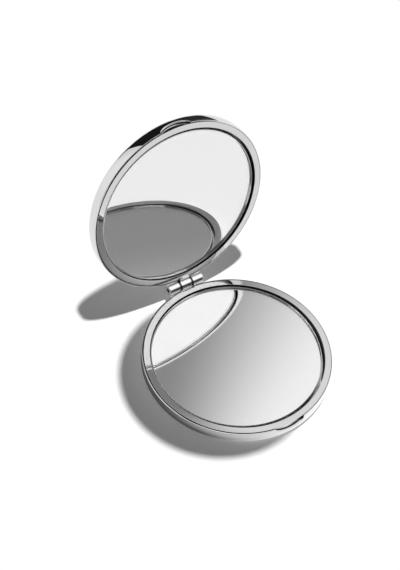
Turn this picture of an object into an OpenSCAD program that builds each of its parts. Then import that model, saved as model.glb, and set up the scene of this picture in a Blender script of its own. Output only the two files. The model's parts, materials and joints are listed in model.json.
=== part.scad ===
// Round compact mirror: two polished metal halves on a three-knuckle hinge, standing open.
// The base lies on its flat underside and the lid leans back past upright.
// Origin: centre of the base's resting face. +Z is up and the hinge is towards +Y.
// Each half is drawn lying down, face up, with its flat outer face at z = 0.
// The lid is the same half turned over onto the base, then swung open about the hinge axis.

/* [Shells] */
// Largest outer diameter of each half
shell_d = 65; // [56:0.5:80]
// Thickness of one half, from its flat outer face to its rim
half_t = 5.2; // [5:0.1:7]
// Thickness of the sheet that forms a shell
sheet_t = 0.5; // [0.4:0.05:0.7]
// Radius of the rounded corner between the wall and the flat outer face
corner_r = 2.2; // [1.2:0.1:2.5]
// How far the wall draws in from its widest line up to the lip
lip_draw = 0.2; // [0.1:0.05:0.3]
// Height of the drawn-in part of the wall, below the rim
draw_h = 2.6; // [0.8:0.1:2.9]
// Rounding of the lip's outer edge
lip_round = 0.12; // [0.05:0.01:0.2]
// How far the sheet's top edge falls from its inner to its outer side
lip_fall = 0.08; // [0.02:0.01:0.12]
// Clear space between the two rims when the mirror is closed
parting_gap = 0.2; // [0.1:0.05:0.4]

/* [Thumb scoop] */
// Width of the scoop cut in each shell's wall, opposite the hinge
scoop_w = 11.2; // [8:0.2:14]
// Depth of the scoop, down from the rim
scoop_h = 2.1; // [1:0.1:2.5]

/* [Frame ring] */
// Width of the flat ring round the mirror
ring_w = 2.1; // [2:0.05:2.6]
// Fine gap between the ring and the shell's lip
groove_w = 0.25; // [0.05:0.01:0.3]
// Thickness of the ring's top web
web_t = 1.4; // [1.3:0.1:1.8]
// Thickness of the ring's inner wall and outer skirt
skirt_t = 0.6; // [0.5:0.05:0.7]
// Height at which the outer skirt ends, above the shell's floor
skirt_lift = 1.5; // [1.4:0.1:1.9]
// Rounding of the ring's outer top edge, at the groove
ring_round = 0.05; // [0.05:0.01:0.15]
// Rounding of the ring's inner top edge, round the glass
ring_lead = 0.1; // [0.05:0.05:0.6]

/* [Mirror] */
// Thickness of the glass
glass_t = 1.5; // [1:0.1:1.8]
// Depth of the mirror's face below the rim
mirror_drop = 0.05; // [0.05:0.05:0.8]
// Radial clearance between the glass and the ring
glass_gap = 0.65; // [0.1:0.05:0.8]
// Width of the ground edge round the glass
bevel_w = 0.25; // [0.1:0.05:0.6]
// Depth of the ground edge below the face of the glass
bevel_h = 0.2; // [0.1:0.05:0.4]
// Thickness of the double-sided foam pad behind the glass
pad_t = 0.8; // [0.5:0.1:1]
// How far the pad's edge stays inside the edge of the glass
pad_inset = 0.9; // [0.5:0.1:2]
// Radial clearance of the backing disc inside the ring
disc_gap = 0.3; // [0.1:0.05:0.6]

/* [Hinge] */
// Outer diameter of the three knuckles
knuckle_d = 3.8; // [3.4:0.1:4]
// Length of each knuckle
knuckle_l = 4.2; // [3:0.1:5]
// Space between neighbouring knuckles
knuckle_gap = 0.4; // [0.3:0.05:0.6]
// Bevel round the ends of a knuckle
knuckle_bevel = 0.15; // [0.05:0.05:0.3]
// Distance from the widest part of the wall out to the hinge axis
axis_out = 1.8; // [1.7:0.05:2.4]
// Diameter of the hinge pin
pin_d = 1.4; // [1:0.1:1.4]
// Radial clearance of the pin in the knuckles
pin_gap = 0.04; // [0.02:0.01:0.08]
// How far each end of the pin lies inside its knuckle
pin_recess = 0.5; // [0.2:0.1:1]
// Thickness of the friction washers between the knuckles
washer_t = 0.3; // [0.2:0.05:0.4]
// How far the washers' edge lies inside the knuckles' surface
washer_inset = 0.35; // [0.2:0.05:0.5]
// Thickness of the leaves' feet, which pass through the walls
foot_t = 0.8; // [0.6:0.05:0.9]
// Depth of the feet below the hinge axis, to their upper face
foot_drop = 0.8; // [0.76:0.01:0.9]
// Radial width of the bar that anchors a leaf inside the ring
bar_w = 0.7; // [0.5:0.05:0.8]
// Length of the bar that anchors the lid's leaf
lid_bar_l = 8; // [6:0.5:10]
// Clearance round the feet and bars in their slots
slot_gap = 0.1; // [0.05:0.05:0.15]
// Depth of the seat cut in both rims for the lid's leaf
seat_h = 0.5; // [0.4:0.05:0.6]
// How far the lid's leaf stands above its own rim
leaf_rise = 0.5; // [0.3:0.05:0.5]
// How far the lid's leaf reaches in over the ring, from the lip's inner edge
leaf_reach = 0.65; // [0.4:0.05:0.8]
// Clearance of the lid's leaf in the seat
seat_gap = 0.25; // [0.15:0.05:0.35]

/* [Closing magnets] */
// Length of the bar magnet in each ring
magnet_l = 6; // [4:0.5:8]
// Width and height of the bar magnet
magnet_w = 1.2; // [0.8:0.1:1.2]
// Thickness of the ring left over the magnet
magnet_cover = 0.6; // [0.4:0.1:0.8]
// Clearance round the magnet in its pocket
magnet_gap = 0.05; // [0.02:0.01:0.08]

/* [Stance] */
// Angle of the lid, from closed
open_angle = 100.7; // [0:0.1:180]

/* [Hidden] */
$fn = 96;

// Facets of a full turn on the revolved pieces, and of a quarter round in a section
turn_fn = 180;
arc_steps = 8;
scoop_steps = 24;
overrun = 1;

wall_r = shell_d / 2;
lip_r = wall_r - lip_draw;
lip_slope = atan(2 * lip_draw / draw_h);
bore_r = wall_r - sheet_t;
ring_r = bore_r - groove_w;
open_r = ring_r - ring_w;
floor_r = wall_r - corner_r;

axis_y = wall_r + axis_out;
axis_z = half_t + parting_gap / 2;
knuckle_r = knuckle_d / 2;
pin_r = pin_d / 2;
pin_bore_r = pin_r + pin_gap;

glass_r = open_r - glass_gap;
glass_z = half_t - mirror_drop - glass_t;
pad_z = glass_z - pad_t;

foot_z = axis_z - foot_drop - foot_t;
seat_z = half_t - seat_h;
leaf_y = bore_r - leaf_reach;
bar_y = open_r + skirt_t;
pitch = knuckle_l + knuckle_gap;
hinge_l = knuckle_l + pitch + pitch;
magnet_top = half_t - magnet_cover;
magnet_y = (open_r + ring_r) / 2;

polished = [0.86, 0.87, 0.88];
plated = [0.80, 0.81, 0.83];
silvered = [0.93, 0.95, 0.96];
foam = [0.20, 0.20, 0.21];
board = [0.62, 0.57, 0.48];
nickel = [0.70, 0.70, 0.68];
steel = [0.60, 0.61, 0.63];

// Points along an arc in a section, from angle a0 to angle a1
function arc(c, r, a0, a1, n = arc_steps) =
    [for (i = [0:n]) c + r * [cos(a0 + (a1 - a0) * i / n), sin(a0 + (a1 - a0) * i / n)]];

// The wall from its widest line up to the lip's rounding, drawn in more and more with height
function drawn_wall() =
    let (rise = draw_h - lip_fall - lip_round * (1 - sin(lip_slope)))
    [for (i = [0:arc_steps - 1]) let (share = i / arc_steps)
        [wall_r - lip_draw * pow(share, 2), half_t - draw_h + rise * share]];

// A box centred on x = 0, given by its length along X and its lowest and highest y and z
module bar(l, y, z) {
    translate([-l / 2, y[0], z[0]]) cube([l, y[1] - y[0], z[1] - z[0]]);
}

// A round solid along X, from x0 to x1, on the hinge axis
module on_axis(r, x0, x1) {
    translate([x0, axis_y, axis_z]) rotate([0, 90, 0]) cylinder(r = r, h = x1 - x0);
}

// Turns a half over onto the base and swings it open about the hinge axis
module as_lid() {
    translate([0, axis_y, axis_z]) rotate([-open_angle, 0, 0])
        translate([0, -axis_y, axis_z]) rotate([0, 180, 0]) children();
}

// Cuts the scoop for a thumbnail in the wall opposite the hinge, half an ellipse from the rim
module scoop_cut() {
    outline = [for (i = [0:scoop_steps])
        [scoop_w / 2 * cos(180 * i / scoop_steps), -scoop_h * sin(180 * i / scoop_steps)]];
    rise = [[-scoop_w / 2, overrun], [scoop_w / 2, overrun]];
    translate([0, -ring_r + overrun, half_t]) rotate([90, 0, 0])
        linear_extrude(sheet_t + groove_w + overrun + overrun) polygon(concat(outline, rise));
}

// Cuts the seat in a rim where the lid's leaf lies, clear of it by gap all round
module seat_cut(gap) {
    bar(knuckle_l + gap + gap, [leaf_y - gap / 2, wall_r + overrun], [seat_z, half_t + overrun]);
}

// Cuts the slot for one foot of a leaf, from inside the ring out through the wall
module foot_cut(x) {
    translate([x, 0, 0]) bar(knuckle_l + slot_gap + slot_gap,
        [bar_y - slot_gap, wall_r + overrun], [foot_z - slot_gap, foot_z + foot_t + slot_gap]);
}

// Drawn sheet cup: flat outer face, rounded corner, straight wall and drawn-in lip
module shell_cup() {
    inner_r = corner_r - sheet_t;
    outer = concat([[0, 0]], arc([floor_r, corner_r], corner_r, -90, 0), drawn_wall(),
        arc([lip_r - lip_round * cos(lip_slope), half_t - lip_fall - lip_round], lip_round,
            lip_slope, 90));
    inner = concat([[bore_r, half_t]], arc([bore_r - inner_r, corner_r], inner_r, 0, -90),
        [[0, sheet_t]]);
    rotate_extrude($fn = turn_fn) polygon(concat(outer, inner));
}

// Moulded ring, open underneath: flat top web, inner wall down to the floor, outer skirt
module frame_ring() {
    e = ring_round;
    f = ring_lead;
    section = concat(
        [[open_r, sheet_t], [open_r + skirt_t, sheet_t], [open_r + skirt_t, half_t - web_t],
         [ring_r - skirt_t, half_t - web_t], [ring_r - skirt_t, sheet_t + skirt_lift],
         [ring_r, sheet_t + skirt_lift]],
        arc([ring_r - e, half_t - e], e, 0, 90), arc([open_r + f, half_t - f], f, 90, 180));
    rotate_extrude($fn = turn_fn) polygon(section);
}

// Pocket under the ring's web for the closing magnet, opposite the hinge
module magnet_pocket() {
    w = magnet_w / 2 + magnet_gap;
    bar(magnet_l + magnet_gap + magnet_gap, [-magnet_y - w, -magnet_y + w],
        [magnet_top - magnet_w, magnet_top]);
}

module magnet() {
    bar(magnet_l, [-magnet_y - magnet_w / 2, -magnet_y + magnet_w / 2],
        [magnet_top - magnet_w, magnet_top]);
}

// Glass disc with a ground edge, silvered on its back
module glass() {
    top = glass_z + glass_t;
    rotate_extrude($fn = turn_fn) polygon([[0, glass_z], [glass_r, glass_z],
        [glass_r, top - bevel_h], [glass_r - bevel_w, top], [0, top]]);
}

module foam_pad() {
    translate([0, 0, pad_z]) cylinder(r = glass_r - pad_inset, h = pad_t, $fn = turn_fn);
}

// Stiff board that fills the space between the shell's floor and the pad
module backing() {
    translate([0, 0, sheet_t])
        cylinder(r = open_r - disc_gap, h = pad_z - sheet_t, $fn = turn_fn);
}

// Tube of a knuckle before its bore, with bevelled ends, centred on x
module knuckle(x) {
    b = knuckle_bevel;
    translate([x - knuckle_l / 2, axis_y, axis_z]) rotate([0, 90, 0]) rotate_extrude()
        polygon([[0, 0], [knuckle_r - b, 0], [knuckle_r, b], [knuckle_r, knuckle_l - b],
            [knuckle_r - b, knuckle_l], [0, knuckle_l]]);
}

// Foot of a leaf: from the knuckle through the wall, ending in the ring's hollow
module foot(x) {
    translate([x, 0, 0]) bar(knuckle_l, [bar_y, axis_y], [foot_z, foot_z + foot_t]);
}

module pin_bore() {
    on_axis(pin_bore_r, -hinge_l / 2 - overrun, hinge_l / 2 + overrun);
}

module washer(x) {
    difference() {
        on_axis(knuckle_r - washer_inset, x - washer_t / 2, x + washer_t / 2);
        pin_bore();
    }
}

module base_shell() {
    color(polished) difference() {
        shell_cup();
        scoop_cut();
        seat_cut(seat_gap);
        foot_cut(-pitch);
        foot_cut(pitch);
    }
}

module base_frame() {
    color(plated) difference() {
        frame_ring();
        magnet_pocket();
        seat_cut(seat_gap);
        foot_cut(-pitch);
        foot_cut(pitch);
        bar(hinge_l + slot_gap + slot_gap, [bar_y - slot_gap, bar_y + bar_w + slot_gap],
            [foot_z - slot_gap, foot_z + foot_t + slot_gap]);
    }
}

module base_mirror() { color(silvered) glass(); }

module base_mirror_pad() { color(foam) foam_pad(); }

module base_backing_disc() { color(board) backing(); }

module base_magnet() { color(nickel) magnet(); }

// Two outer knuckles on one strip, whose middle runs inside the ring
module base_hinge_leaf() {
    color(plated) difference() {
        union() {
            for (x = [-pitch, pitch]) {
                knuckle(x);
                foot(x);
            }
            bar(hinge_l, [bar_y, bar_y + bar_w], [foot_z, foot_z + foot_t]);
        }
        pin_bore();
    }
}

module hinge_pin() {
    color(steel) on_axis(pin_r, -hinge_l / 2 + pin_recess, hinge_l / 2 - pin_recess);
}

module hinge_washer_left() { color(steel) washer(-pitch / 2); }

module hinge_washer_right() { color(steel) washer(pitch / 2); }

module lid_shell() {
    color(polished) as_lid() difference() {
        shell_cup();
        scoop_cut();
        seat_cut(0);
        foot_cut(0);
    }
}

module lid_frame() {
    color(plated) as_lid() difference() {
        frame_ring();
        magnet_pocket();
        seat_cut(0);
        foot_cut(0);
        bar(lid_bar_l + slot_gap + slot_gap, [bar_y - slot_gap, bar_y + bar_w + slot_gap],
            [foot_z - slot_gap, foot_z + foot_t + slot_gap]);
    }
}

module lid_mirror() { color(silvered) as_lid() glass(); }

module lid_mirror_pad() { color(foam) as_lid() foam_pad(); }

module lid_backing_disc() { color(board) as_lid() backing(); }

module lid_magnet() { color(nickel) as_lid() magnet(); }

// Middle knuckle on a forked leaf: a plate let into the rim, and a foot through the wall
module lid_hinge_leaf() {
    color(plated) as_lid() difference() {
        union() {
            knuckle(0);
            foot(0);
            bar(knuckle_l, [leaf_y, axis_y], [seat_z, half_t + leaf_rise]);
            bar(lid_bar_l, [bar_y, bar_y + bar_w], [foot_z, foot_z + foot_t]);
        }
        pin_bore();
    }
}

base_shell();
base_frame();
base_mirror();
base_mirror_pad();
base_backing_disc();
base_magnet();
base_hinge_leaf();
hinge_pin();
hinge_washer_left();
hinge_washer_right();
lid_shell();
lid_frame();
lid_mirror();
lid_mirror_pad();
lid_backing_disc();
lid_magnet();
lid_hinge_leaf();
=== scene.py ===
import json
import math

import bpy
import numpy as np
from mathutils import Matrix, Vector


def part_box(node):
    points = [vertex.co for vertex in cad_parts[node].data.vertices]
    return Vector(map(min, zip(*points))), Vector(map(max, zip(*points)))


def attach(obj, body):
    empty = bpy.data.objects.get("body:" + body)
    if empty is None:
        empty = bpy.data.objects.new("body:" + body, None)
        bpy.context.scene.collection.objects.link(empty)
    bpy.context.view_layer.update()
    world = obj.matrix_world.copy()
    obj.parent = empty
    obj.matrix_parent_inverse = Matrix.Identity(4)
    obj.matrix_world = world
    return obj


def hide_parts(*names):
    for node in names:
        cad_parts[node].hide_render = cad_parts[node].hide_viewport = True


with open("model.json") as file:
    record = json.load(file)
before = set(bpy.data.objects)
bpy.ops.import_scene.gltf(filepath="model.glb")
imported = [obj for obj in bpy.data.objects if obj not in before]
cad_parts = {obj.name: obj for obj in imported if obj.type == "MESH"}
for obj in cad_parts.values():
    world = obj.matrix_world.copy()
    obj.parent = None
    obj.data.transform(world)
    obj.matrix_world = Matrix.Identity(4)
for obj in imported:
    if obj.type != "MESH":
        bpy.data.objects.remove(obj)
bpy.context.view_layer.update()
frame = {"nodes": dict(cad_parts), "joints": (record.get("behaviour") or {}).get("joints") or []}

# Lengths in the dictionaries are in millimetres; mm turns them into metres.
mm = 0.001


def nodeBox(node):
    # Lowest and highest corner of a construction node, in millimetres
    low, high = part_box(node)
    return np.array(low) / mm, np.array(high) / mm


# The hinge line and the closed angle come from the joint
hingeJoint = frame["joints"][0]
hingeY, hingeZ = (value / mm for value in hingeJoint["pos_m"][1:])
openAngle = -math.radians(hingeJoint["range_deg"][0])
wallRadius = nodeBox("base_shell")[1][0]
rimHeight = nodeBox("base_shell")[1][2]
print("frame: opened", round(math.degrees(openAngle), 1), "degrees, radius", round(wallRadius, 2))

# Shared fine values of the meshes: how many margins make a run long, welding cells in a
# millimetre, the turn at which an edge is sharp, a bevel's steps, the smallest bevel, the support
# beside a bevel as a share of it, and how far a cutter stands out
meshSize = {
    "longRun": 4, "weldCells": 1e5, "sharpDeg": 30.0, "bevelSteps": 3, "leastBevel": 1e-3,
    "bevelSupportShare": 0.3, "overrun": 1.0,
}


def arcPoints(centre, radius, startDeg, endDeg, steps):
    # Centre plus radius times (cosine, sine) of evenly spaced angles
    angle = np.radians(np.linspace(startDeg, endDeg, steps + 1))
    return np.array(centre) + radius * np.stack([np.cos(angle), np.sin(angle)], -1)


def withSupport(points, margin, closed=True):
    # Adds a point near both ends of each long straight run, but none beside the axis of an
    # open outline, so that smooth shading turns only within the arcs and the flats stay flat
    after = np.roll(points, -1, 0) if closed else points[1:]
    longRun = meshSize["longRun"] * margin
    out = []
    for here, there in zip(points, after):
        run = np.linalg.norm(there - here)
        out.append(here)
        if run > longRun and (closed or here[0] > 0):
            out.append(here + (there - here) * margin / run)
        if run > longRun and (closed or there[0] > 0):
            out.append(there - (there - here) * margin / run)
    return np.array(out if closed else out + [points[-1]])


def asLid(points):
    # Half turn about Y onto the base, then open about the hinge line:
    # y' = y cos + z sin and z' = z cos - y sin, both measured from the hinge line
    x, y, z = -points[..., 0], points[..., 1] - hingeY, hingeZ - points[..., 2]
    c, s = math.cos(openAngle), math.sin(openAngle)
    return np.stack([x, hingeY + y * c + z * s, hingeZ + z * c - y * s], -1)


def gridFaces(rows, columns, closedRows, closedColumns):
    # Quads between neighbouring rows and columns, wrapping round where closed
    i = np.arange(rows if closedRows else rows - 1)[:, None]
    j = np.arange(columns if closedColumns else columns - 1)[None, :]
    nextRow, nextColumn = (i + 1) % rows, (j + 1) % columns
    corners = [i * columns + j, i * columns + nextColumn,
               nextRow * columns + nextColumn, nextRow * columns + j]
    return np.stack(np.broadcast_arrays(*corners), -1).reshape(-1, 4)


def newObject(name, points, faces):
    # A mesh object from points in millimetres, put into the scene
    mesh = bpy.data.meshes.new(name)
    mesh.from_pydata((points * mm).tolist(), [], faces)
    made = bpy.data.objects.new(name, mesh)
    bpy.context.scene.collection.objects.link(made)
    return made


def makePiece(name, points, quads, sharpDeg=meshSize["sharpDeg"]):
    # Welds points that coincide, turns quads with a lost side into triangles, and points all
    # faces outwards by the sign of the enclosed volume; quads are smooth, the fans of an end flat
    points = points.reshape(-1, 3)
    key = np.round(points * meshSize["weldCells"]).astype(np.int64)
    _, first, same = np.unique(key, axis=0, return_index=True, return_inverse=True)
    corner = points[first]
    quads = same.reshape(-1)[quads]
    a, b, c, d = (corner[quads[:, k]] for k in range(4))
    volume = np.einsum("ij,ij->", a, np.cross(b, c) + np.cross(c, d)) / 6
    if volume < 0:
        quads = quads[:, ::-1]
    lost = quads == np.roll(quads, -1, 1)
    faces = quads[~lost.any(1)].tolist()
    for k in range(4):
        faces += np.delete(quads[(lost.sum(1) == 1) & lost[:, k]], k, 1).tolist()
    piece = newObject(name, corner, faces)
    mesh = piece.data
    mesh.validate()
    mesh.polygons.foreach_set("use_smooth", [polygon.loop_total > 3 for polygon in mesh.polygons])
    mesh.set_sharp_from_angle(angle=math.radians(sharpDeg))
    mesh.update()
    return piece


def revolved(outline, columns, ends=False):
    # An outline of (radius, height) turned round the Z axis, as grid rows and columns:
    # closed on itself, or open with both its ends on the axis
    turn = np.linspace(0, 2 * np.pi, columns, endpoint=False)
    radius, height = outline[:, :1], outline[:, 1:]
    points = np.stack([radius * np.sin(turn), -radius * np.cos(turn), height + 0 * turn], -1)
    return points, gridFaces(len(outline), columns, not ends, True)


def boxPoints(low, high, bevel=0.0):
    # A rounded rectangle in (y, z) carried along X, drawn in at both ends: at a lean its inset is
    # bevel * (1 - sin) and its distance from the end bevel * (1 - cos)
    low, high = np.array(low, float), np.array(high, float)
    size = high - low
    b, steps = max(bevel, meshSize["leastBevel"]), meshSize["bevelSteps"]
    outline = np.concatenate([
        arcPoints((high[1] - b, high[2] - b), b, 0, 90, steps),
        arcPoints((low[1] + b, high[2] - b), b, 90, 180, steps),
        arcPoints((low[1] + b, low[2] + b), b, 180, 270, steps),
        arcPoints((high[1] - b, low[2] + b), b, 270, 360, steps)])
    outline = withSupport(outline, meshSize["bevelSupportShare"] * b)
    middle = (low[1:] + high[1:]) / 2
    lean = np.linspace(0, np.pi / 2, steps + 1)
    inset = np.concatenate([b * (1 - np.sin(lean)), (b * (1 - np.sin(lean)))[::-1]])
    stations = np.concatenate([low[0] + b * (1 - np.cos(lean)), high[0] - b * (1 - np.cos(lean[::-1]))])
    scale = 1 - inset[:, None] / (size[1:] / 2)
    section = middle + (outline[None] - middle) * scale[:, None, :]
    x = np.broadcast_to(stations[:, None, None], (*section.shape[:2], 1))
    body = np.concatenate([x, section], -1)
    tips = [np.broadcast_to(np.array([stations[k], *middle]), (1, len(outline), 3)) for k in (0, -1)]
    points = np.concatenate([tips[0], body, tips[1]])
    return points, gridFaces(len(points), len(outline), False, True)


def cutOrJoin(piece, tool, operation):
    # Exact boolean of the piece with a tool solid, which is then removed
    modifier = piece.modifiers.new("cut", "BOOLEAN")
    modifier.operation, modifier.solver, modifier.object = operation, "EXACT", tool
    shown = piece.evaluated_get(bpy.context.evaluated_depsgraph_get())
    mesh = bpy.data.meshes.new_from_object(shown)
    piece.modifiers.clear()
    old, piece.data = piece.data, mesh
    bpy.data.meshes.remove(old)
    bpy.data.objects.remove(tool)
    mesh.validate()
    mesh.set_sharp_from_angle(angle=math.radians(meshSize["sharpDeg"]))


def cutBox(piece, place, low, high):
    # Takes a square-cornered box, given by its lowest and highest corner, out of a piece
    points, quads = boxPoints(low, high)
    cutOrJoin(piece, makePiece("cutter", place(points), quads), "DIFFERENCE")


def settle(piece, body, slot, material, *nodes):
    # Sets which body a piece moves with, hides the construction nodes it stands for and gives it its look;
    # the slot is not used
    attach(piece, body)
    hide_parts(*nodes)
    dress(piece, material)
    print("made", piece.name, "with", len(piece.data.polygons), "faces")


def asBase(points):
    # The base lies as it is drawn
    return points


halves = {"base": asBase, "lid": asLid}

# How far ring and glass lie from the middle, along X, in the play that they have
slack = {"ring": 0.18, "glass": -0.25}


def shifted(half, part):
    # Places a half's points and moves them along X by the part's slack
    def place(points):
        return halves[half](points) + np.array([slack[part], 0, 0])
    return place


def faceSpots(piece, place, low):
    # For each face's centre its height above the half's level z = low, measured along the half's
    # axis, and its distance from that axis, both in millimetres
    start, above = place(np.array([[0, 0, low], [0, 0, low + 1.0]]))
    centres = np.zeros(len(piece.data.polygons) * 3)
    piece.data.polygons.foreach_get("center", centres)
    offset = centres.reshape(-1, 3) / mm - start
    axis = above - start
    height = offset @ axis
    return height, np.linalg.norm(offset - height[:, None] * axis, axis=1)


def shaderNode(tree, kind, inputs=None, **settings):
    # Adds a shader node; each input gets a fixed value, or a socket to wire in
    made = tree.nodes.new("ShaderNode" + kind)
    for key, value in settings.items():
        setattr(made, key, value)
    for key, value in (inputs or {}).items():
        if isinstance(value, bpy.types.NodeSocket):
            tree.links.new(value, made.inputs[key])
        else:
            made.inputs[key].default_value = value
    return made


def mathOf(tree, operation, *values):
    # One Math node on numbers or sockets
    return shaderNode(tree, "Math", dict(enumerate(values)), operation=operation).outputs[0]


def times(tree, first, second):
    # first * second
    return mathOf(tree, "MULTIPLY", first, second)


def plus(tree, first, second):
    # first + second
    return mathOf(tree, "ADD", first, second)


def minus(tree, first, second):
    # first - second
    return mathOf(tree, "SUBTRACT", first, second)


def across(tree, first, second):
    # sqrt(first^2 + second^2)
    return mathOf(tree, "SQRT", plus(tree, times(tree, first, first), times(tree, second, second)))


def smoothStep(tree, value, low, high, start=0.0, end=1.0):
    # Goes smoothly from start to end while the value goes from low to high
    ends = {"Value": value, "From Min": low, "From Max": high, "To Min": start, "To Max": end}
    return shaderNode(tree, "MapRange", ends, interpolation_type="SMOOTHSTEP").outputs["Result"]


def noise(tree, place, scale, detail, roughness=0.5):
    # Height of a cloudy noise at a place
    inputs = {"Vector": place, "Scale": scale, "Detail": detail, "Roughness": roughness}
    return shaderNode(tree, "TexNoise", inputs).outputs["Fac"]


def grey(value):
    # The same value for red, green and blue
    return (value, value, value, 1.0)


def blend(tree, share, start, end):
    # start + share * (end - start) on numbers
    return shaderNode(tree, "Mix", {0: share, 2: start, 3: end}).outputs[0]


def tint(tree, share, start, end):
    # start + share * (end - start) on colours, from a colour socket or a grey to a grey
    start = start if isinstance(start, bpy.types.NodeSocket) else grey(start)
    return shaderNode(tree, "Mix", {0: share, 6: start, 7: grey(end)}, data_type="RGBA").outputs[2]


def newGroup(name, inputs, output):
    # A node group that takes a place and named numbers and puts out one named number
    tree = bpy.data.node_groups.new(name, "ShaderNodeTree")
    tree.interface.new_socket("Place", in_out="INPUT", socket_type="NodeSocketVector")
    for key in inputs:
        tree.interface.new_socket(key, in_out="INPUT", socket_type="NodeSocketFloat")
    tree.interface.new_socket(output, in_out="OUTPUT", socket_type="NodeSocketFloat")
    return tree, tree.nodes.new("NodeGroupInput").outputs, tree.nodes.new("NodeGroupOutput").inputs


# What the shared patterns have in common wherever they are used: the noises' detail, how softly
# marks and films fade in, and how much finer a film's second noise is
patternShape = {
    "markDetail": 3.0, "markFade": 0.25,
    "filmDetail": 2.0, "filmTop": 0.9, "filmFade": 0.2,
    "finer": 9.0, "fineDetail": 4.0, "fineRoughness": 0.6,
    "waveDetail": 0.0, "peelDetail": 1.0,
}


def polishMarksGroup():
    # Hairlines: noise drawn out along the first axis of the place, with only its peaks kept
    p = patternShape
    tree, given, out = newGroup("polishMarks", ["Scale", "Stretch", "Cover"], "Mask")
    squeeze = shaderNode(tree, "CombineXYZ", {"X": mathOf(tree, "DIVIDE", 1.0, given["Stretch"]),
                                              "Y": 1.0, "Z": 1.0})
    drawn = shaderNode(tree, "VectorMath", {0: given["Place"], 1: squeeze.outputs[0]}, operation="MULTIPLY")
    lines = noise(tree, drawn.outputs[0], given["Scale"], p["markDetail"])
    low = minus(tree, 1.0, given["Cover"])
    tree.links.new(smoothStep(tree, lines, low, plus(tree, low, p["markFade"])), out["Mask"])
    return tree


def handlingGroup():
    # Thin film where fingers rest: two sizes of soft noise multiplied
    p = patternShape
    tree, given, out = newGroup("handling", ["Size", "Cover"], "Mask")
    broad = noise(tree, given["Place"], given["Size"], p["filmDetail"])
    fine = noise(tree, given["Place"], times(tree, given["Size"], p["finer"]), p["fineDetail"],
                 p["fineRoughness"])
    low = minus(tree, p["filmTop"], given["Cover"])
    patch = smoothStep(tree, broad, low, plus(tree, low, p["filmFade"]))
    tree.links.new(times(tree, patch, fine), out["Mask"])
    return tree


def ripplesGroup():
    # Height of a pressed or plated skin: long soft waves plus a little fine peel
    p = patternShape
    tree, given, out = newGroup("ripples", ["Waves", "Peel", "Peel share"], "Height")
    waves = noise(tree, given["Place"], given["Waves"], p["waveDetail"])
    peel = noise(tree, given["Place"], given["Peel"], p["peelDetail"])
    tree.links.new(plus(tree, waves, times(tree, peel, given["Peel share"])), out["Height"])
    return tree


def jointFilmGroup():
    # Painted shade in the gaps and the bore: full within inner of the gaps' middles, |x| = gap, gone at
    # outer, and full where sqrt((y - hingeY)^2 + (z - hingeZ)^2) is under the bore's radius
    tree, given, out = newGroup("jointFilm", ["Gap", "Inner", "Outer", "Bore"], "Mask")
    x, y, z = shaderNode(tree, "SeparateXYZ", {"Vector": given["Place"]}).outputs
    away = mathOf(tree, "ABSOLUTE", minus(tree, mathOf(tree, "ABSOLUTE", x), given["Gap"]))
    seam = smoothStep(tree, away, given["Inner"], given["Outer"], 1.0, 0.0)
    radius = across(tree, minus(tree, y, hingeY * mm), minus(tree, z, hingeZ * mm))
    bore = mathOf(tree, "LESS_THAN", radius, given["Bore"])
    tree.links.new(mathOf(tree, "MAXIMUM", seam, bore), out["Mask"])
    return tree


groups = {
    "polishMarks": polishMarksGroup(), "handling": handlingGroup(), "ripples": ripplesGroup(),
    "jointFilm": jointFilmGroup(),
}
print("shared shader groups:", ", ".join(groups))


def placed(tree, half):
    # Object coordinates; for a piece of the lid turned back into the closed frame, with the
    # height counted from the hinge line
    coordinates = shaderNode(tree, "TexCoord").outputs["Object"]
    if half != "lid":
        return coordinates
    hinge = (0.0, hingeY * mm, hingeZ * mm)
    centred = shaderNode(tree, "VectorMath", {0: coordinates, 1: hinge}, operation="SUBTRACT").outputs[0]
    turn = {"Vector": centred, "Rotation": (openAngle, 0.0, 0.0), "Location": (0.0, hingeY * mm, 0.0)}
    return shaderNode(tree, "Mapping", turn, vector_type="POINT").outputs[0]


def around(tree, place):
    # Turn about Z times the radius, radius and height: marks drawn along the first run in circles
    x, y, z = shaderNode(tree, "SeparateXYZ", {"Vector": place}).outputs
    turn = mathOf(tree, "ABSOLUTE", mathOf(tree, "ARCTAN2", x, y))
    run = times(tree, turn, wallRadius * mm)
    return shaderNode(tree, "CombineXYZ", {"X": run, "Y": across(tree, x, y), "Z": z}).outputs[0]


def grouped(tree, name, place, **values):
    # Puts a shared group into a material, with its own values
    made = shaderNode(tree, "Group")
    made.node_tree = groups[name]
    tree.links.new(place, made.inputs["Place"])
    for key, value in values.items():
        made.inputs[key.replace("_", " ").capitalize()].default_value = value
    return made.outputs[0]


def newMaterial(name):
    # An empty material with its node tree
    material = bpy.data.materials.new(name)
    material.use_nodes = True
    material.node_tree.nodes.clear()
    return material, material.node_tree


def finishMaterial(tree, color, roughness, height, depth, **plain):
    # The shader itself, with its bump depth in millimetres and its plain values, named by key
    bump = shaderNode(tree, "Bump", {"Height": height, "Distance": depth * mm, "Strength": 1.0})
    inputs = {key.replace("_", " "): value for key, value in plain.items()}
    inputs.update({"Base Color": color, "Roughness": roughness, "Normal": bump.outputs[0]})
    shader = shaderNode(tree, "BsdfPrincipled", inputs)
    shaderNode(tree, "OutputMaterial", {"Surface": shader.outputs[0]})


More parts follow.
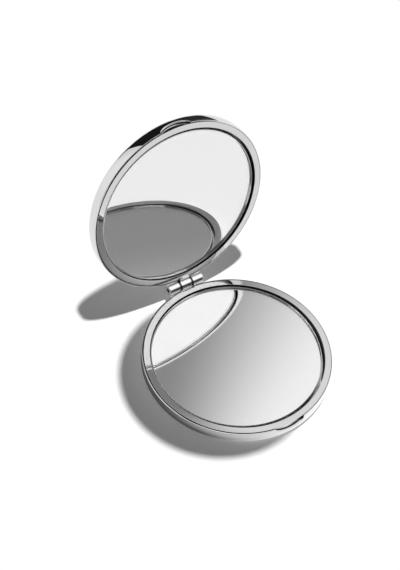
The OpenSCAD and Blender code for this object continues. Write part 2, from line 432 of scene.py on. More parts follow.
def metalFinish(name, half, look, circular=False):
    # Bright metal: hairlines and a handling film raise the roughness and dull the colour a little, and a
    # look with a joint shade gets painted shade in the hinge's gaps and in the base's bores
    material, tree = newMaterial(name)
    place = placed(tree, half)
    run = around(tree, place) if circular else place
    lines = grouped(tree, "polishMarks", run, scale=look["lineScale"], stretch=look["lineStretch"],
                    cover=look["lineCover"])
    film = grouped(tree, "handling", place, size=look["filmSize"], cover=look["filmCover"])
    height = grouped(tree, "ripples", place, waves=look["waves"], peel=look["peel"],
                     peel_share=look["peelShare"])
    dull = mathOf(tree, "MAXIMUM", times(tree, lines, look["lineDulling"]), film)
    shades = tint(tree, dull, look["bright"], look["dulled"])
    # Painted shade: the colour goes towards jointShade in the hinge's gaps and, on the base, in the bore
    if "jointShade" in look:
        bore = look["jointBore"] if half == "base" else 0.0
        joint = grouped(tree, "jointFilm", place, gap=pitch / 2 * mm, inner=look["jointInner"] * mm,
                        outer=look["jointOuter"] * mm, bore=bore * mm)
        shades = tint(tree, joint, shades, look["jointShade"])
    roughness = smoothStep(tree, dull, 0.0, 1.0, look["smooth"], look["rough"])
    finishMaterial(tree, shades, roughness, height, look["rippleDepth"], Metallic=1.0)
    return material


def dress(piece, material):
    # Gives a piece or a construction node its material
    piece.data.materials.clear()
    piece.data.materials.append(material)


# Hinge sizes, which the shells and rings are cut for
hingeSize = {
    "knuckleLength": 4.2, "knuckleGap": 0.4, "knuckleEdge": 0.16, "knuckleRadius": 1.9,
    "boreRadius": 0.74, "pinRadius": 0.70, "pinRecess": 0.5, "washerThick": 0.3, "washerRadius": 1.55,
    "footThick": 0.8, "footDrop": 0.8, "barWidth": 0.7, "lidBarLength": 8.0, "slotGap": 0.1,
    "seatDepth": 0.5, "leafRise": 0.5, "leafReach": 0.65, "seatGap": 0.25, "plateEdge": 0.08,
    "barrelSupport": 0.03, "barrelSteps": 5, "barrelColumns": 120, "pinDome": 0.18, "pinSteps": 6,
    "pinColumns": 64, "washerEdge": 0.06, "washerSteps": 3, "washerColumns": 96,
}
pitch = hingeSize["knuckleLength"] + hingeSize["knuckleGap"]
halfKnuckle = hingeSize["knuckleLength"] / 2
halfHinge = pitch + halfKnuckle
footLow = hingeZ - hingeSize["footDrop"] - hingeSize["footThick"]
footHigh = hingeZ - hingeSize["footDrop"]
seatLow = rimHeight - hingeSize["seatDepth"]

shellSize = {
    "sheet": 0.5, "corner": 2.2, "lipDraw": 0.2, "drawHeight": 2.6, "lipRound": 0.12, "lipFall": 0.08,
    "innerRound": 0.04, "scoopWidth": 11.2, "scoopDepth": 2.1,
    "columns": 640, "scoopColumns": 72, "cornerSteps": 16, "wallSteps": 14, "lipSteps": 8, "innerSteps": 3,
    "support": 0.03,
}
# A look gives the grey and the roughness where the metal is clean and where it is dulled, then
# the hairlines, the handling film and the ripples. Scales count per metre, depths are in mm
shellLook = {
    "bright": 0.70, "dulled": 0.64, "smooth": 0.018, "rough": 0.07,
    "lineScale": 2600.0, "lineStretch": 60.0, "lineCover": 0.42, "lineDulling": 0.5,
    "filmSize": 55.0, "filmCover": 0.34,
    "waves": 75.0, "peel": 700.0, "peelShare": 0.03, "rippleDepth": 0.012,
}
boreRadius = wallRadius - shellSize["sheet"]
leafInner = boreRadius - hingeSize["leafReach"]


def wallAt(height):
    # Radius and lean of the wall's outer face: straight, then drawn in by the square of the
    # height above the start of the draw, so the lean's tangent grows evenly
    s = shellSize
    rise = s["drawHeight"] - s["lipFall"] - s["lipRound"]
    share = np.clip((height - rimHeight + s["drawHeight"]) / rise, 0, 1)
    return wallRadius - s["lipDraw"] * share ** 2, np.arctan(2 * s["lipDraw"] * share / rise)


def shellColumns():
    # Turn of each column and the height of the rim there; the scoop is half an ellipse
    s = shellSize
    sweep = np.linspace(np.pi, 0, s["scoopColumns"] + 1)
    scoopTurn = np.arcsin(s["scoopWidth"] / 2 * np.cos(sweep) / (wallRadius - s["sheet"] / 2))
    rest = np.linspace(scoopTurn[-1], 2 * np.pi + scoopTurn[0], s["columns"] + 1)[1:-1]
    rim = rimHeight - s["scoopDepth"] * np.sin(sweep)
    return np.concatenate([scoopTurn, rest]), np.concatenate([rim, 0 * rest + rimHeight])


def shellSurface():
    # Each column is the section of the drawn sheet, with its wall shortened to the rim there
    s = shellSize
    turn, rim = shellColumns()
    base = s["corner"]
    floorRadius = wallRadius - base
    under = arcPoints((floorRadius, base), base, -90, 0, s["cornerSteps"])
    under = withSupport(np.concatenate([[[0, 0]], under]), s["support"], closed=False)
    over = arcPoints((floorRadius, base), base - s["sheet"], 0, -90, s["cornerSteps"])
    over = withSupport(np.concatenate([over, [[0, s["sheet"]]]]), s["support"], closed=False)
    climb = np.sin(np.linspace(0, np.pi / 2, s["wallSteps"] + 1))[:, None]
    lipTop = rim[None, :] - s["lipFall"]
    lean = wallAt(lipTop - s["lipRound"])[1]
    top = lipTop - s["lipRound"] * (1 - np.sin(lean))
    wallZ = base + climb * (top - base)
    wallR = wallAt(wallZ)[0]
    lip = lean + np.linspace(0, 1, s["lipSteps"] + 1)[1:, None] * (np.pi / 2 - lean)
    lipR = wallR[-1:] + s["lipRound"] * (np.cos(lip) - np.cos(lean))
    lipZ = lipTop - s["lipRound"] * (1 - np.sin(lip))
    inner = np.linspace(np.pi / 2, np.pi, s["innerSteps"] + 1)[:, None]
    innerR = boreRadius + s["innerRound"] * (1 + np.cos(inner)) + 0 * rim[None, :]
    innerZ = rim[None, :] - s["innerRound"] * (1 - np.sin(inner))
    fixed = np.ones((1, len(turn)))
    radius = np.concatenate([under[:, :1] * fixed, wallR[1:], lipR, innerR, over[:, :1] * fixed])
    height = np.concatenate([under[:, 1:] * fixed, wallZ[1:], lipZ, innerZ, over[:, 1:] * fixed])
    points = np.stack([radius * np.sin(turn), -radius * np.cos(turn), height], -1)
    return points, gridFaces(len(radius), len(turn), False, True)


def footCuts(piece, place, centres, reach):
    # Slots for the feet through the wall and, where a reach to both sides is given, for the bar
    # that anchors the feet inside the ring
    gap = hingeSize["slotGap"]
    for centre in centres:
        cutBox(piece, place, (centre - halfKnuckle - gap, barInner - gap, footLow - gap),
               (centre + halfKnuckle + gap, wallRadius + meshSize["overrun"], footHigh + gap))
    if reach:
        cutBox(piece, place, (-reach - gap, barInner - gap, footLow - gap),
               (reach + gap, barInner + hingeSize["barWidth"] + gap, footHigh + gap))


ringSize = {
    "width": 2.1, "web": 1.4, "skirt": 0.6, "skirtLift": 1.5, "edge": 0.05, "lead": 0.1, "crown": 0.02,
    "crownSteps": 10, "columns": 640, "edgeSteps": 4, "leadSteps": 5, "support": 0.02, "hair": 0.01,
    "magnetLength": 6.0, "magnetWidth": 1.2, "magnetCover": 0.6, "magnetGap": 0.05,
}
ringLook = {
    "bright": 0.64, "dulled": 0.60, "smooth": 0.022, "rough": 0.075,
    "lineScale": 2200.0, "lineStretch": 30.0, "lineCover": 0.38, "lineDulling": 0.5,
    "filmSize": 80.0, "filmCover": 0.36,
    "waves": 160.0, "peel": 1500.0, "peelShare": 0.06, "rippleDepth": 0.004,
}
# Near-black, rough finish of the ring's inner wall: painted shade for the gap between ring and glass
gapShadeLook = dict(ringLook, bright=0.04, dulled=0.03, smooth=0.35, rough=0.5)
ringRadius = nodeBox("base_frame")[1][0]
openRadius = ringRadius - ringSize["width"]
barInner = openRadius + ringSize["skirt"]
footCentres = {"base": (-pitch, pitch), "lid": (0.0,)}
barHalf = {"base": halfHinge, "lid": hingeSize["lidBarLength"] / 2}
seatGap = {"base": hingeSize["seatGap"], "lid": 0.0}


def insideRing(piece, place, material):
    # The ring's inner wall, up to its top rounding, is near black as painted shade in the gap round the
    # glass: the faces within a hair of the opening's radius about the axis and below the rounding
    height, radius = faceSpots(piece, place, 0.0)
    gapShaded = (radius < openRadius + ringSize["hair"]) & (height < rimHeight - ringSize["lead"])
    piece.data.materials.append(material)
    piece.data.polygons.foreach_set("material_index", gapShaded.astype(np.int32))


def seatCut(piece, place, gap):
    # Shallow seat across the rim for the lid's leaf
    over = meshSize["overrun"]
    cutBox(piece, place, (-halfKnuckle - gap, leafInner - gap / 2, seatLow),
           (halfKnuckle + gap, wallRadius + over, rimHeight + over))


def makeShell(half):
    # Drawn cup with the seat for the leaf's plate and the slots for the feet cut out
    points, quads = shellSurface()
    piece = makePiece(half + "Shell", halves[half](points), quads)
    seatCut(piece, halves[half], seatGap[half])
    footCuts(piece, halves[half], footCentres[half], None)
    look = metalFinish("polishedShell" + half.capitalize(), half, shellLook, circular=True)
    settle(piece, half, "polished_shell", look, half + "_shell")


def makeRing(half):
    # Ring, open underneath: an inner wall down to the floor, a top that falls a hair outwards
    # and an outer skirt. The fall at a share u of the top's width is crown * u * (2 - u)
    r = ringSize
    e, lead, floor = r["edge"], r["lead"], shellSize["sheet"]
    share = np.linspace(1, 0, r["crownSteps"] + 1)[1:-1]
    top = np.stack([openRadius + lead + share * (r["width"] - lead - e),
                    rimHeight - r["crown"] * share * (2 - share)], -1)
    outline = np.concatenate([
        [[openRadius, floor], [barInner, floor], [barInner, rimHeight - r["web"]],
         [ringRadius - r["skirt"], rimHeight - r["web"]], [ringRadius - r["skirt"], floor + r["skirtLift"]],
         [ringRadius, floor + r["skirtLift"]]],
        arcPoints((ringRadius - e, rimHeight - e - r["crown"]), e, 0, 90, r["edgeSteps"]), top,
        arcPoints((openRadius + lead, rimHeight - lead), lead, 90, 180, r["leadSteps"])])
    points, quads = revolved(withSupport(outline, r["support"]), r["columns"])
    piece = makePiece(half + "Ring", shifted(half, "ring")(points), quads)
    seatCut(piece, halves[half], seatGap[half])
    footCuts(piece, halves[half], footCentres[half], barHalf[half])
    w, y = r["magnetWidth"] / 2 + r["magnetGap"], -(openRadius + ringRadius) / 2
    high = rimHeight - r["magnetCover"]
    cutBox(piece, halves[half], (-r["magnetLength"] / 2 - r["magnetGap"], y - w, high - r["magnetWidth"]),
           (r["magnetLength"] / 2 + r["magnetGap"], y + w, high))
    side = half.capitalize()
    settle(piece, half, "plated_ring", metalFinish("platedRing" + side, half, ringLook, circular=True),
           half + "_frame")
    insideRing(piece, shifted(half, "ring"), metalFinish("ringGapShade" + side, half, gapShadeLook, circular=True))


glassSize = {
    "bevelWidth": 0.25, "bevelDepth": 0.2, "seam": 0.03, "padFilm": 0.01, "backDepth": 0.02, "columns": 640,
    "support": 0.02, "sharpDeg": 10.0,
}
glassLook = {
    "clear": 0.985, "filmed": 0.965, "smooth": 0.0, "rough": 0.012, "refraction": 1.52, "through": 1.0,
    "filmSize": 40.0, "filmCover": 0.32,
    "waves": 25.0, "peel": 90.0, "peelShare": 0.02, "rippleDepth": 0.002,
}
groundLook = dict(glassLook, clear=0.97, filmed=0.94, smooth=0.5, rough=0.6, filmSize=900.0, through=0.4)
silverLook = {
    "bright": 0.84, "dulled": 0.82, "smooth": 0.0, "rough": 0.006,
    "lineScale": 1500.0, "lineStretch": 90.0, "lineCover": 0.34, "lineDulling": 0.3,
    "filmSize": 90.0, "filmCover": 0.2,
    "waves": 30.0, "peel": 90.0, "peelShare": 0.02, "rippleDepth": 0.001,
}
glassLow, glassHigh = nodeBox("base_mirror")
glassRadius = glassHigh[0]


def glassFinish(name, half, look):
    # Clear float glass whose face carries a thin handling film, or its ground edge, which is
    # rough from outside and smooth from inside
    material, tree = newMaterial(name)
    place = placed(tree, half)
    film = grouped(tree, "handling", place, size=look["filmSize"], cover=look["filmCover"])
    height = grouped(tree, "ripples", place, waves=look["waves"], peel=look["peel"],
                     peel_share=look["peelShare"])
    outside = smoothStep(tree, film, 0.0, 1.0, look["smooth"], look["rough"])
    inward = shaderNode(tree, "NewGeometry").outputs["Backfacing"]
    finishMaterial(tree, tint(tree, film, look["clear"], look["filmed"]), blend(tree, inward, outside, 0.0),
                   height, look["rippleDepth"], Metallic=0.0, Transmission_Weight=look["through"],
                   IOR=look["refraction"])
    return material


def silverAndGround(piece, place, silver, ground):
    # The plate's back gets the silvering: the faces whose centre lies less than backDepth above
    # the pad. The faces further from the axis than the bevel's inner edge are ground
    height, radius = faceSpots(piece, place, glassLow[2])
    kind = 2 * (radius > glassRadius - glassSize["bevelWidth"])
    kind[height < glassSize["backDepth"]] = 1
    piece.data.materials.append(silver)
    piece.data.materials.append(ground)
    piece.data.polygons.foreach_set("material_index", kind.astype(np.int32))


def makeGlass(half):
    # Round plate with a ground edge, silvered on its back, which lies a film's thickness off the pad
    g, bottom, top = glassSize, glassLow[2] + glassSize["padFilm"], glassHigh[2]
    outline = np.array([
        [0, bottom], [glassRadius - g["seam"], bottom], [glassRadius, bottom + g["seam"]],
        [glassRadius, top - g["bevelDepth"]], [glassRadius - g["bevelWidth"], top], [0, top]])
    points, quads = revolved(withSupport(outline, g["support"], closed=False), g["columns"], ends=True)
    piece = makePiece(half + "Glass", shifted(half, "glass")(points), quads, g["sharpDeg"])
    side = half.capitalize()
    clear = glassFinish("mirrorGlass" + side, half, glassLook)
    settle(piece, half, "mirror_glass", clear, half + "_mirror")
    silverAndGround(piece, shifted(half, "glass"), metalFinish("silvering" + side, half, silverLook),
                    glassFinish("groundEdge" + side, half, groundLook))


leafLook = {
    "bright": 0.86, "dulled": 0.78, "smooth": 0.008, "rough": 0.03,
    "lineScale": 5200.0, "lineStretch": 14.0, "lineCover": 0.35, "lineDulling": 0.6,
    "filmSize": 260.0, "filmCover": 0.38,
    "waves": 320.0, "peel": 2600.0, "peelShare": 0.08, "rippleDepth": 0.003,
    # The joint values set the painted shade in the hinge's gaps and bore: its grey, where it is full and
    # gone, and the bore's radius, in mm
    "jointShade": 0.03, "jointInner": 0.30, "jointOuter": 0.52, "jointBore": 0.80,
}
# The pin is kept near black as painted shade, so that its recessed ends darken the hinge's holes
shadedWireLook = {
    "bright": 0.09, "dulled": 0.06, "smooth": 0.12, "rough": 0.30,
    "lineScale": 6500.0, "lineStretch": 50.0, "lineCover": 0.55, "lineDulling": 1.0,
    "filmSize": 400.0, "filmCover": 0.40,
    "waves": 600.0, "peel": 5200.0, "peelShare": 0.3, "rippleDepth": 0.002,
}
stampedLook = dict(shadedWireLook, bright=0.42, dulled=0.34, smooth=0.08, rough=0.22, lineStretch=8.0)


def alongHinge(outline, columns=hingeSize["barrelColumns"], closed=True):
    # An outline of (radius, x) turned round the hinge line
    turn = np.linspace(0, 2 * np.pi, columns, endpoint=False)
    radius, x = outline[:, :1], outline[:, 1:]
    points = np.stack([x + 0 * turn, hingeY + radius * np.cos(turn), hingeZ + radius * np.sin(turn)], -1)
    return points, gridFaces(len(outline), columns, closed, True)


def barrelOutline(outer, inner, low, high, edge, steps):
    # Section of a bored barrel with rounded outer edges
    return withSupport(np.concatenate([
        [[inner, high], [inner, low]],
        arcPoints((low + edge, outer - edge), edge, 180, 90, steps)[:, ::-1],
        arcPoints((high - edge, outer - edge), edge, 90, 0, steps)[:, ::-1]]), hingeSize["barrelSupport"])


def knuckle(name, place, centre):
    # One barrel of the hinge, with its bore, centred on x
    h = hingeSize
    outline = barrelOutline(h["knuckleRadius"], h["boreRadius"], centre - halfKnuckle, centre + halfKnuckle,
                            h["knuckleEdge"], h["barrelSteps"])
    points, quads = alongHinge(outline)
    return makePiece(name, place(points), quads)


def joinPlate(piece, place, low, high):
    # Fuses a plate with softened edges to a leaf
    points, quads = boxPoints(low, high, hingeSize["plateEdge"])
    cutOrJoin(piece, makePiece("plate", place(points), quads), "UNION")


def clearBore(piece, place):
    # Takes the pin's bore out of a leaf again, over the hinge's whole length
    bore, end = hingeSize["boreRadius"], halfHinge + meshSize["overrun"]
    outline = np.array([[0, -end], [bore, -end], [bore, end], [0, end]])
    points, quads = alongHinge(outline, closed=False)
    cutOrJoin(piece, makePiece("cutter", place(points), quads), "DIFFERENCE")


def makeBaseLeaf():
    # The two outer barrels, each on a foot through the wall, joined by a bar inside the ring
    piece = knuckle("baseHinge", asBase, -pitch)
    cutOrJoin(piece, knuckle("second", asBase, pitch), "UNION")
    barOuter = barInner + hingeSize["barWidth"]
    joinPlate(piece, asBase, (-halfHinge, barInner, footLow), (halfHinge, barOuter, footHigh))
    for centre in footCentres["base"]:
        joinPlate(piece, asBase, (centre - halfKnuckle, barInner, footLow),
                  (centre + halfKnuckle, hingeY, footHigh))
    clearBore(piece, asBase)
    look = metalFinish("platedHingeBase", "base", leafLook)
    settle(piece, "base", "plated_hinge", look, "base_hinge_leaf")


def makeLidLeaf():
    # The middle barrel on a forked leaf: a plate let into the rim and a foot through the wall
    piece = knuckle("lidHinge", asLid, 0.0)
    half, barOuter = barHalf["lid"], barInner + hingeSize["barWidth"]
    joinPlate(piece, asLid, (-halfKnuckle, barInner, footLow), (halfKnuckle, hingeY, footHigh))
    joinPlate(piece, asLid, (-halfKnuckle, leafInner, seatLow),
              (halfKnuckle, hingeY, rimHeight + hingeSize["leafRise"]))
    joinPlate(piece, asLid, (-half, barInner, footLow), (half, barOuter, footHigh))
    clearBore(piece, asLid)
    look = metalFinish("platedHingeLid", "lid", leafLook)
    settle(piece, "lid", "plated_hinge", look, "lid_hinge_leaf")


def makePin():
    # Wire, a little shorter than the hinge. Over its domed ends the radius is pinRadius * sin of
    # a lean, and the length falls short by pinDome * (1 - cos)
    h = hingeSize
    lean = np.linspace(0, np.pi / 2, h["pinSteps"] + 1)
    along = halfHinge - h["pinRecess"] - h["pinDome"] * (1 - np.cos(lean))
    cap = np.stack([h["pinRadius"] * np.sin(lean), along], -1)
    outline = np.concatenate([cap * [1, -1], cap[::-1]])
    points, quads = alongHinge(outline, h["pinColumns"], closed=False)
    piece = makePiece("hingePin", points, quads)
    settle(piece, "base", "steel_pin", metalFinish("pinInShade", "base", shadedWireLook), "hinge_pin")


def makeWasher(side, sign):
    # A thin ring in the gap between two barrels
    h, middle = hingeSize, sign * pitch / 2
    half = h["washerThick"] / 2
    outline = barrelOutline(h["washerRadius"], h["boreRadius"], middle - half, middle + half,
                            h["washerEdge"], h["washerSteps"])
    points, quads = alongHinge(outline, h["washerColumns"])
    piece = makePiece("washer" + side.capitalize(), points, quads)
    look = metalFinish("stampedWasher" + side.capitalize(), "base", stampedLook)
    settle(piece, "base", "steel_washer", look, "hinge_washer_" + side)


magnetLook = {
    "bright": 0.56, "dulled": 0.45, "smooth": 0.14, "rough": 0.32,
    "lineScale": 1800.0, "lineStretch": 3.0, "lineCover": 0.5, "lineDulling": 0.6,
    "filmSize": 300.0, "filmCover": 0.45,
    "waves": 500.0, "peel": 4000.0, "peelShare": 0.4, "rippleDepth": 0.004,
}
foamLook = {
    "wall": 0.05, "cell": 0.015, "cellsPerMetre": 3500.0, "wallSpan": (0.25, 0.6), "smooth": 0.75,
    "rough": 0.95, "depth": 0.08,
}
boardLook = {
    "pale": 0.32, "dark": 0.20, "fibres": 2600.0, "fibreStretch": 6.0, "fibreCover": 0.5, "fleck": 600.0,
    "fleckCover": 0.4, "smooth": 0.7, "rough": 0.9, "depth": 0.03,
}


def foamFinish(name, half):
    # Closed cells: dark hollows between paler walls, from the distance to the nearest cell centre
    f = foamLook
    material, tree = newMaterial(name)
    cells = shaderNode(tree, "TexVoronoi", {"Vector": placed(tree, half), "Scale": f["cellsPerMetre"]})
    wall = smoothStep(tree, cells.outputs["Distance"], *f["wallSpan"])
    roughness = smoothStep(tree, wall, 0.0, 1.0, f["rough"], f["smooth"])
    color = tint(tree, wall, f["cell"], f["wall"])
    finishMaterial(tree, color, roughness, wall, f["depth"], Metallic=0.0)
    return material


def boardFinish(name, half):
    # Pressed board: fine fibres with scattered darker flecks
    b = boardLook
    material, tree = newMaterial(name)
    place = placed(tree, half)
    fibres = grouped(tree, "polishMarks", place, scale=b["fibres"], stretch=b["fibreStretch"],
                     cover=b["fibreCover"])
    fleck = grouped(tree, "handling", place, size=b["fleck"], cover=b["fleckCover"])
    dark = mathOf(tree, "MAXIMUM", fibres, fleck)
    roughness = smoothStep(tree, dark, 0.0, 1.0, b["smooth"], b["rough"])
    color = tint(tree, dark, b["pale"], b["dark"])
    finishMaterial(tree, color, roughness, fibres, b["depth"], Metallic=0.0)
    return material


def dressInside(half):
    # The hidden construction nodes keep their shape and get their own finish
    dress(frame["nodes"][half + "_mirror_pad"], foamFinish("foam" + half.capitalize(), half))
    dress(frame["nodes"][half + "_backing_disc"], boardFinish("board" + half.capitalize(), half))
    dress(frame["nodes"][half + "_magnet"], metalFinish("nickel" + half.capitalize(), half, magnetLook))
    print("dressed the pad, backing disc and magnet of the", half)


for make in (makeShell, makeRing, makeGlass):
    for half in halves:
        make(half)
makeBaseLeaf()
makeLidLeaf()
makePin()
makeWasher("left", -1)
makeWasher("right", 1)
for half in halves:
    dressInside(half)

# The camera as it was fitted to the photo; the focal length and the frame's height are in pixels
cameraPlace = {
    "azimuthDeg": -36.661, "elevationDeg": 50.848, "rollDeg": 6.257, "distance": 431.7,
    "shiftRight": -12.60, "shiftUp": 22.93, "focalPixels": 1279.8, "frameHeight": 570, "sensor": 36.0,
    "clip": (10.0, 20000.0),
}


def placeCamera():
    # Looks along the line set by azimuth and elevation, rolled about it. From the hinge's height
    # above the origin it stands the distance back, plus its steps to the right and up
    c = cameraPlace
    a, e, roll = (math.radians(c[k]) for k in ("azimuthDeg", "elevationDeg", "rollDeg"))
    back = Vector((math.sin(a) * math.cos(e), -math.cos(a) * math.cos(e), math.sin(e)))
    level = Vector((math.cos(a), math.sin(a), 0))
    upward = back.cross(level)
    right = level * math.cos(roll) + upward * math.sin(roll)
    up = upward * math.cos(roll) - level * math.sin(roll)
    lens = bpy.data.cameras.new("camera")
    lens.sensor_width = c["sensor"]
    lens.sensor_fit = "AUTO"
    lens.lens = c["focalPixels"] / c["frameHeight"] * c["sensor"]
    lens.clip_start, lens.clip_end = (value * mm for value in c["clip"])
    camera = bpy.data.objects.new("camera", lens)
    place = (back * c["distance"] + right * c["shiftRight"] + up * c["shiftUp"]) * mm
    place.z += hingeZ * mm
    camera.matrix_world = Matrix.Translation(place) @ Matrix((right, up, back)).transposed().to_4x4()
    bpy.context.scene.collection.objects.link(camera)
    bpy.context.scene.camera = camera


placeCamera()
print("camera placed")

# Brightness of the room by direction, as the polished metal sees it: angles in degrees,
# azimuth 0 to the right (+X) and 90 to the back (+Y)
studioLight = {
    # the white walls, and the backdrop that the camera sees
    "front": 1.33, "side": 1.04, "frontToSide": (-22.0, 2.0), "backNear": 0.85, "backFar": 1.05,
    "backRise": (109.5, 130.0), "backStart": 109.5, "backdrop": 1.05,
    # the black flag at the back right: an edge is its azimuth at the horizon and the gain per degree up
    "flagEdgeLow": (7.4, 0.671), "flagEdgeHigh": (39.9, 0.286), "flagTail": 25.0, "tailLevel": (0.02, 0.28),
    "tailRise": (22.0, 48.0), "flagTop": (60.0, 67.0), "flagFoot": (-1.0, 0.5), "flagBlack": 0.012,
    # the stepped desk in front
    "deskSpan": (-118.0, -100.0, -52.0, -38.0), "deskSteps": (14.0, 21.0, 30.0, 38.0),
    "deskLevels": (0.02, 0.16, 0.34),
    # the darkness behind the camera, by the turn away from its middle
    "darkMiddle": -146.0, "darkLeft": (-49.0, -42.0), "darkRight": (40.0, 48.0), "dimRight": (80.0, 92.0),
    "dimLevel": 0.85, "dimFoot": (37.0, 42.0), "darkTop": (62.0, 72.0), "darkLevel": 0.02,
}
sunLight = {"towards": (-0.11, 0.0), "spreadDeg": 2.6, "strength": 3.3}
floorLook = {"shadow": 0.172, "white": 0.80, "halfWidth": 3000.0}
# Part-ring card on the floor, a painted reflection of the floor with painted shade at the foot: its radii,
# and brightness by turn near and far from the foot
sheetSize = {
    "span": (-125.0, 62.0), "inner": 29.0, "full": 41.0, "outer": 45.0, "lift": 0.02, "columns": 120,
    "away": (33.5, 37.0), "turnNear": (-60.0, 10.0), "levelNear": (0.10, 1.25), "turnFar": (-95.0, 33.0),
    "levelFar": (0.12, 1.35),
}
# Shadow card: radius and centre of its shadow, and the card's height
flagSize = {"radius": 33.0, "centre": (-8.5, -1.0), "height": 70.0, "columns": 96}


def roomNodes(tree):
    # White room with a tall black flag at the back right, a dark, stepped desk in front
    # and darkness behind the camera, up to well above it
    s = studioLight
    direction = shaderNode(tree, "TexCoord").outputs["Generated"]
    x, y, z = shaderNode(tree, "SeparateXYZ", {"Vector": direction}).outputs
    azimuth = mathOf(tree, "DEGREES", mathOf(tree, "ARCTAN2", y, x))
    elevation = mathOf(tree, "DEGREES", mathOf(tree, "ARCSINE", z))
    white = smoothStep(tree, azimuth, *s["frontToSide"], s["front"], s["side"])
    behind = mathOf(tree, "GREATER_THAN", azimuth, s["backStart"])
    back = smoothStep(tree, azimuth, *s["backRise"], s["backNear"], s["backFar"])
    low, high = (mathOf(tree, "MULTIPLY_ADD", elevation, s[key][1], s[key][0])
                 for key in ("flagEdgeLow", "flagEdgeHigh"))
    tail = smoothStep(tree, elevation, *s["tailRise"], *s["tailLevel"])
    edge = smoothStep(tree, azimuth, low, high)
    fade = smoothStep(tree, azimuth, high, plus(tree, high, s["flagTail"]), 1.0, 0.0)
    shade = plus(tree, times(tree, tail, fade), s["flagBlack"])
    flagged = plus(tree, times(tree, minus(tree, 1.0, edge), white), times(tree, edge, shade))
    reach = times(tree, smoothStep(tree, elevation, *s["flagTop"], 1.0, 0.0),
                  smoothStep(tree, elevation, *s["flagFoot"]))
    right = blend(tree, reach, white, flagged)
    left, leftIn, rightIn, rightOut = s["deskSpan"]
    desk = times(tree, smoothStep(tree, azimuth, left, leftIn),
                 smoothStep(tree, azimuth, rightIn, rightOut, 1.0, 0.0))
    first, second, third, fourth = s["deskSteps"]
    dark, middle, pale = s["deskLevels"]
    steps = plus(tree, smoothStep(tree, elevation, first, second, dark, dark + middle),
                 smoothStep(tree, elevation, second, third, 0.0, pale - middle))
    level = plus(tree, steps, smoothStep(tree, elevation, third, fourth, 0.0, s["front"] - pale - dark))
    front = blend(tree, desk, right, level)
    room = blend(tree, behind, front, back)
    away = mathOf(tree, "WRAP", minus(tree, azimuth, s["darkMiddle"]), 180.0, -180.0)
    dim = times(tree, smoothStep(tree, away, *s["dimRight"], s["dimLevel"], 0.0),
                smoothStep(tree, elevation, *s["dimFoot"]))
    full = smoothStep(tree, away, *s["darkRight"], 1.0, 0.0)
    cover = times(tree, mathOf(tree, "MAXIMUM", dim, full), smoothStep(tree, away, *s["darkLeft"]))
    cover = times(tree, cover, smoothStep(tree, elevation, *s["darkTop"], 1.0, 0.0))
    return blend(tree, cover, room, s["darkLevel"])


def makeRoom():
    # Only reflections see the room; the camera sees a plain pale backdrop
    world = bpy.data.worlds.new("studio")
    bpy.context.scene.world = world
    world.use_nodes = True
    world.cycles.sampling_method = "NONE"
    tree = world.node_tree
    tree.nodes.clear()
    path = shaderNode(tree, "LightPath").outputs
    seen = plus(tree, times(tree, path["Is Glossy Ray"], roomNodes(tree)),
                times(tree, path["Is Camera Ray"], studioLight["backdrop"]))
    light = shaderNode(tree, "Background", {"Color": grey(1.0), "Strength": seen})
    shaderNode(tree, "OutputWorld", {"Surface": light.outputs[0]})
    bpy.context.scene.view_settings.view_transform = "Standard"


def makeFloor():
    # White sheet that keeps an even grey where the sun is blocked
    f = floorLook
    w = f["halfWidth"]
    floor = newObject("floor", np.array([(-w, -w, 0), (w, -w, 0), (w, w, 0), (-w, w, 0)]), [(0, 1, 2, 3)])
    material, tree = newMaterial("floorSheet")
    inputs = {"Base Color": grey(f["white"]), "Roughness": 1.0, "Specular IOR Level": 0.0,
              "Emission Color": grey(1.0), "Emission Strength": f["shadow"]}
    sheet = shaderNode(tree, "BsdfPrincipled", inputs)
    shaderNode(tree, "OutputMaterial", {"Surface": sheet.outputs[0]})
    dress(floor, material)


def makeSun():
    # Nearly overhead, and seen by no reflection
    lamp = bpy.data.lights.new("sun", "SUN")
    lamp.energy, lamp.angle = sunLight["strength"], math.radians(sunLight["spreadDeg"])
    sun = bpy.data.objects.new("sun", lamp)
    downward = Vector((*sunLight["towards"], -1.0))
    sun.rotation_euler = downward.to_track_quat("-Z", "Y").to_euler()
    sun.visible_glossy = sun.visible_transmission = False
    bpy.context.scene.collection.objects.link(sun)


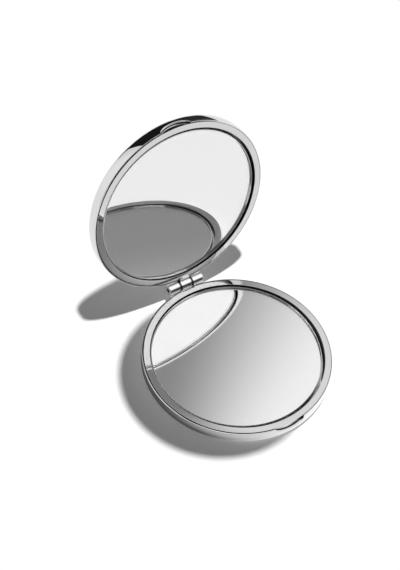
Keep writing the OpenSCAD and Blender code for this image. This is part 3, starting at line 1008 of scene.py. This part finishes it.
def makeSheet():
    # Part of a ring on the floor in front of the base, seen only by reflections: a glowing card that paints
    # the floor's reflection, dark at the foot as painted shade. Its brightness grows with the turn about Z,
    # from the left side to the front, and with the distance from the foot; it thins out towards its outer
    # edge
    c = sheetSize
    turn = np.radians(np.linspace(*c["span"], c["columns"]))
    ring = np.stack([np.sin(turn), -np.cos(turn), 0 * turn], -1)
    points = np.concatenate([ring * c["inner"], ring * c["outer"]]) + [0, 0, c["lift"]]
    card = newObject("sheetCard", points, gridFaces(2, c["columns"], False, False).tolist())
    material, tree = newMaterial("sheetShade")
    place = shaderNode(tree, "TexCoord").outputs["Object"]
    x, y, _ = shaderNode(tree, "SeparateXYZ", {"Vector": place}).outputs
    radius = across(tree, x, y)
    turned = mathOf(tree, "DEGREES", mathOf(tree, "ARCTAN2", x, times(tree, y, -1.0)))
    away = smoothStep(tree, radius, *(value * mm for value in c["away"]))
    near = smoothStep(tree, turned, *c["turnNear"], *c["levelNear"])
    far = smoothStep(tree, turned, *c["turnFar"], *c["levelFar"])
    thin = smoothStep(tree, radius, c["full"] * mm, c["outer"] * mm)
    shade = shaderNode(tree, "Emission", {"Color": grey(1.0), "Strength": blend(tree, away, near, far)})
    clear = shaderNode(tree, "BsdfTransparent")
    mixed = shaderNode(tree, "MixShader", {0: thin, 1: shade.outputs[0], 2: clear.outputs[0]})
    shaderNode(tree, "OutputMaterial", {"Surface": mixed.outputs[0]})
    dress(card, material)
    card.visible_camera = card.visible_diffuse = card.visible_shadow = card.visible_transmission = False


def makeFlag():
    # Hidden round card that widens the base's shadow: it lies against the sun's direction from its
    # own shadow, centre - direction times height + radius times (cosine, sine)
    c = flagSize
    angle = np.linspace(0, 2 * np.pi, c["columns"], endpoint=False)
    middle = np.array(c["centre"]) - np.array(sunLight["towards"]) * c["height"]
    x, y = middle[:, None] + c["radius"] * np.stack([np.cos(angle), np.sin(angle)])
    points = np.stack([x, y, 0 * angle + c["height"]], -1)
    flag = newObject("shadowFlag", points, [list(range(c["columns"]))])
    flag.visible_camera = flag.visible_glossy = flag.visible_diffuse = flag.visible_transmission = False


makeRoom()
makeFloor()
makeSun()
makeSheet()
makeFlag()
print("studio: room, floor, sun, sheet card and shadow card")
